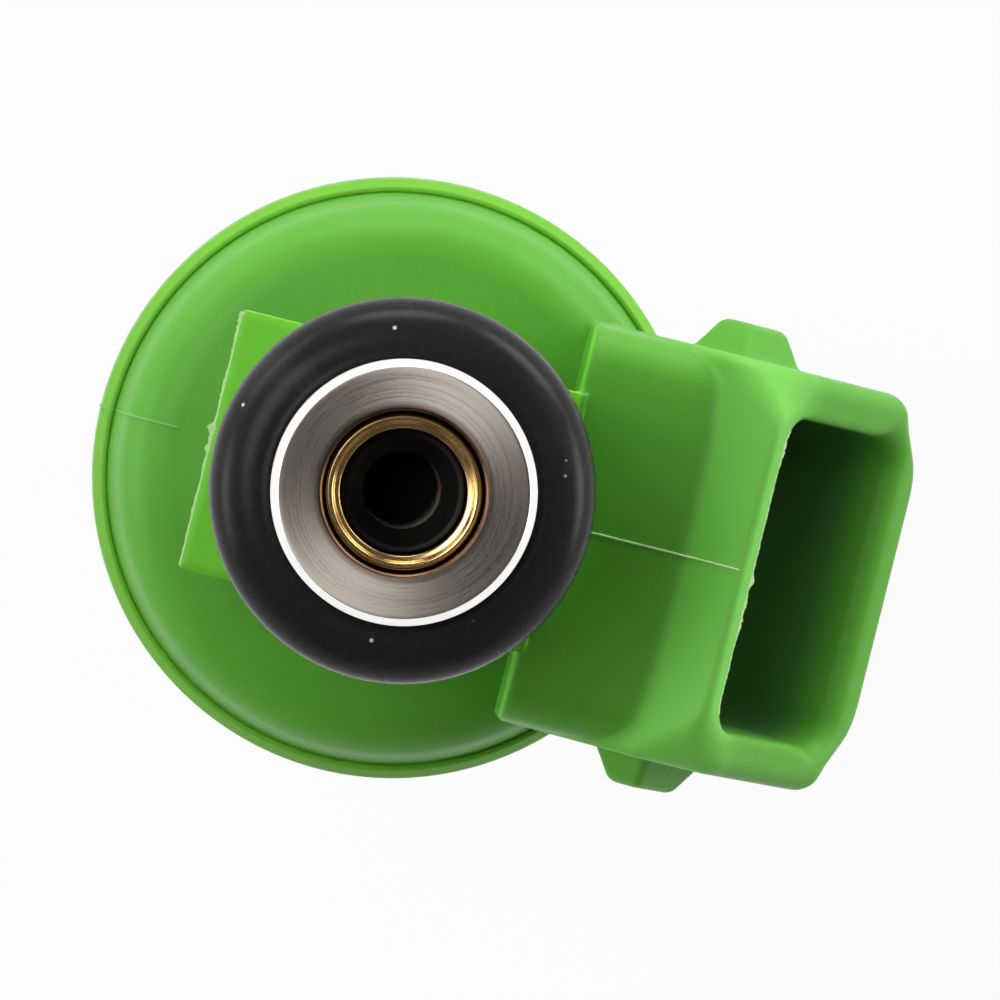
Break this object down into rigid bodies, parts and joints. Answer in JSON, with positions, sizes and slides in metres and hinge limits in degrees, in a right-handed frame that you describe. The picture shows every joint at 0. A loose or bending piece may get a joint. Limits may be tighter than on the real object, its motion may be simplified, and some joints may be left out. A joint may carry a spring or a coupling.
{
  "type": "fuel injector",
  "caption": "Top-feed port fuel injector: moulded body with a tilted two-way connector, ringed inlet, steel coil housing and a sprung needle valve.",
  "frame": {"origin": "on the injector's axis, at the centre of the spray tip's end face, where the tip stands in the manifold's bore", "axes": "+Z along the injector's axis from the spray tip to the fuel inlet, +X from the axis towards the electrical connector"},
  "size_m": [0.032, 0.024, 0.075],
  "materials": {
    "green_nylon": "glass-filled nylon with a satin gloss",
    "black_rubber": "moulded, slightly dusty",
    "turned_steel": "turned",
    "brass": "drawn and polished",
    "black_nylon": "moulded",
    "screen_nylon": "woven",
    "zinc_plated_steel": "zinc plated",
    "enamelled_copper": "enamelled wire",
    "stainless_steel": "turned",
    "ground_steel": "ground",
    "spring_steel": "drawn wire",
    "tinned_bronze": "tin plated"
  },
  "bodies": {
    "injector_body": {"overmould_body": "green_nylon", "upper_o_ring": "black_rubber", "lower_o_ring": "black_rubber", "inlet_tube": "turned_steel", "filter_rim": "brass", "filter_basket": "black_nylon", "filter_screen": "screen_nylon", "adjusting_sleeve": "stainless_steel", "return_spring": "spring_steel", "coil_bobbin": "black_nylon", "coil_winding": "enamelled_copper", "housing_shell": "zinc_plated_steel", "flux_washer": "zinc_plated_steel", "magnetic_break_sleeve": "stainless_steel", "valve_body": "stainless_steel", "lift_stop_shim": "ground_steel", "valve_seat": "ground_steel", "orifice_plate": "stainless_steel", "plate_retainer": "stainless_steel", "nozzle_cap": "black_nylon", "seal_backing_ring": "black_nylon", "terminal_left": "tinned_bronze", "terminal_right": "tinned_bronze"},
    "needle_assembly": {"armature": "turned_steel", "valve_needle": "stainless_steel", "valve_ball": "ground_steel"}
  },
  "joints": [
    {"name": "needle_lift", "type": "slide", "parent": "injector_body", "child": "needle_assembly", "axis": [0, 0, 1], "range_m": [0, 0.0001], "stiffness_N_per_m": 2000, "springref_m": -0.002, "deforming": ["return_spring"]}
  ]
}
